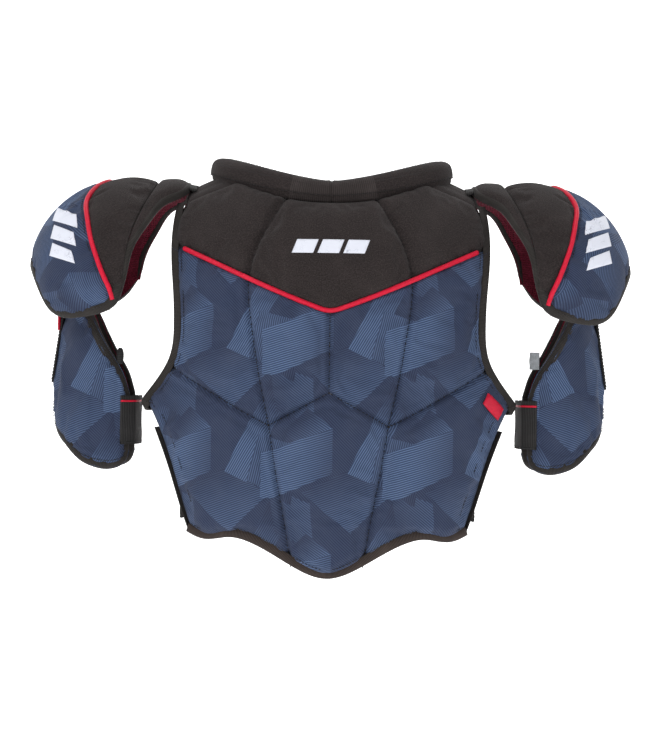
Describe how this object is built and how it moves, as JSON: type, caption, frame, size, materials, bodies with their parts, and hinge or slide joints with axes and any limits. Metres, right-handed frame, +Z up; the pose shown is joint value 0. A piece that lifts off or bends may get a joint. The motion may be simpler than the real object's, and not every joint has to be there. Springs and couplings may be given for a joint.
{
  "type": "hockey shoulder pads",
  "caption": "Quilted ice hockey shoulder pads: curved back and chest panels joined over the shoulders, domed shoulder caps and hanging bicep guards with elastic straps.",
  "frame": {"origin": "middle of the neck opening, at the height where the shoulder bridges rest on the wearer", "axes": "+X the wearer's right, +Y from the back to the chest, +Z up"},
  "size_m": [0.6006, 0.2378, 0.4107],
  "materials": {
    "blue_cloth": "matte woven print",
    "black_cloth": "matte knit",
    "binding_tape": "matte ribbed tape",
    "liner_cloth": "brushed mesh",
    "foam": "closed-cell foam",
    "plate_plastic": "satin moulded",
    "webbing": "woven webbing",
    "elastic": "ribbed elastic",
    "red_trim": "satin cord",
    "white_print": "screen print"
  },
  "bodies": {
    "back": {"armhole_bindings": "binding_tape", "back_cover": "blue_cloth", "back_foam_lower": "foam", "back_foam_yoke": "foam", "back_liner": "liner_cloth", "back_piping": "red_trim", "back_yoke_cover": "black_cloth", "collar_roll": "black_cloth", "hem_binding": "binding_tape", "left_shoulder_bridge": "black_cloth", "right_shoulder_bridge": "black_cloth", "side_label": "red_trim", "spine_plate": "plate_plastic", "yoke_emblem": "white_print"},
    "chest": {"left_chest_cover": "blue_cloth", "right_chest_cover": "blue_cloth", "left_chest_foam": "foam", "right_chest_foam": "foam", "sternum_plates": "plate_plastic", "chest_liner": "liner_cloth", "chest_binding": "binding_tape", "chest_piping": "red_trim", "chest_side_tabs": "webbing", "strap_loop_patches": "webbing"},
    "upper_strap": {"upper_sternum_strap": "webbing"},
    "lower_strap": {"lower_sternum_strap": "webbing"},
    "left_side_strap": {"left_side_strap": "elastic"},
    "left_cap": {"left_cap_arch_pad": "black_cloth", "left_cap_binding": "binding_tape", "left_cap_inner_cover": "black_cloth", "left_cap_liner": "liner_cloth", "left_cap_outer_cover": "blue_cloth", "left_cap_piping": "red_trim", "left_cap_plate": "plate_plastic", "left_cap_stripes": "white_print"},
    "left_hanger": {"left_hanger_tabs": "webbing"},
    "left_guard": {"left_guard_cover": "blue_cloth", "left_guard_plate": "plate_plastic", "left_guard_liner": "liner_cloth", "left_guard_binding": "binding_tape", "left_arm_band": "elastic", "left_adjust_strap": "webbing"},
    "left_band_tab": {"left_band_tab": "elastic"},
    "right_side_strap": {"right_side_strap": "elastic"},
    "right_cap": {"right_cap_arch_pad": "black_cloth", "right_cap_binding": "binding_tape", "right_cap_inner_cover": "black_cloth", "right_cap_liner": "liner_cloth", "right_cap_outer_cover": "blue_cloth", "right_cap_piping": "red_trim", "right_cap_plate": "plate_plastic", "right_cap_stripes": "white_print"},
    "right_hanger": {"right_hanger_tabs": "webbing"},
    "right_guard": {"right_guard_cover": "blue_cloth", "right_guard_plate": "plate_plastic", "right_guard_liner": "liner_cloth", "right_guard_binding": "binding_tape", "right_arm_band": "elastic", "right_adjust_strap": "webbing"},
    "right_band_tab": {"right_band_tab": "elastic"}
  },
  "joints": [
    {"name": "chest_lift", "type": "hinge", "parent": "back", "child": "chest", "pos_m": [0, 0.046, 0.017], "axis": [1, 0, 0], "range_deg": [0, 80]},
    {"name": "upper_strap_open", "type": "hinge", "parent": "chest", "child": "upper_strap", "pos_m": [-0.038, 0.1234, -0.149], "axis": [0, 0, 1], "range_deg": [0, 120]},
    {"name": "lower_strap_open", "type": "hinge", "parent": "chest", "child": "lower_strap", "pos_m": [-0.038, 0.1234, -0.229], "axis": [0, 0, 1], "range_deg": [0, 120]},
    {"name": "left_side_strap_open", "type": "hinge", "parent": "back", "child": "left_side_strap", "pos_m": [-0.1453, -0.0375, -0.299], "axis": [0, 0, 1], "range_deg": [0, 100]},
    {"name": "left_cap_raise", "type": "hinge", "parent": "back", "child": "left_cap", "pos_m": [-0.1425, 0, 0.0083], "axis": [0, 1, 0], "range_deg": [0, 50]},
    {"name": "left_arm_spread", "type": "hinge", "parent": "left_cap", "child": "left_hanger", "pos_m": [-0.244, 0, -0.112], "axis": [0, 1, 0], "range_deg": [0, 22]},
    {"name": "left_arm_swing", "type": "hinge", "parent": "left_hanger", "child": "left_guard", "pos_m": [-0.244, 0, -0.112], "axis": [1, 0, 0], "range_deg": [-12, 12]},
    {"name": "left_band_open", "type": "hinge", "parent": "left_guard", "child": "left_band_tab", "pos_m": [-0.1932, 0.0352, -0.2217], "axis": [0, 0, -1], "range_deg": [0, 110]},
    {"name": "right_side_strap_open", "type": "hinge", "parent": "back", "child": "right_side_strap", "pos_m": [0.1453, -0.0375, -0.299], "axis": [0, 0, -1], "range_deg": [0, 100]},
    {"name": "right_cap_raise", "type": "hinge", "parent": "back", "child": "right_cap", "pos_m": [0.1425, 0, 0.0083], "axis": [0, -1, 0], "range_deg": [0, 50]},
    {"name": "right_arm_spread", "type": "hinge", "parent": "right_cap", "child": "right_hanger", "pos_m": [0.244, 0, -0.112], "axis": [0, -1, 0], "range_deg": [0, 22]},
    {"name": "right_arm_swing", "type": "hinge", "parent": "right_hanger", "child": "right_guard", "pos_m": [0.244, 0, -0.112], "axis": [1, 0, 0], "range_deg": [-12, 12]},
    {"name": "right_band_open", "type": "hinge", "parent": "right_guard", "child": "right_band_tab", "pos_m": [0.1932, 0.0352, -0.2217], "axis": [0, 0, 1], "range_deg": [0, 110]}
  ]
}
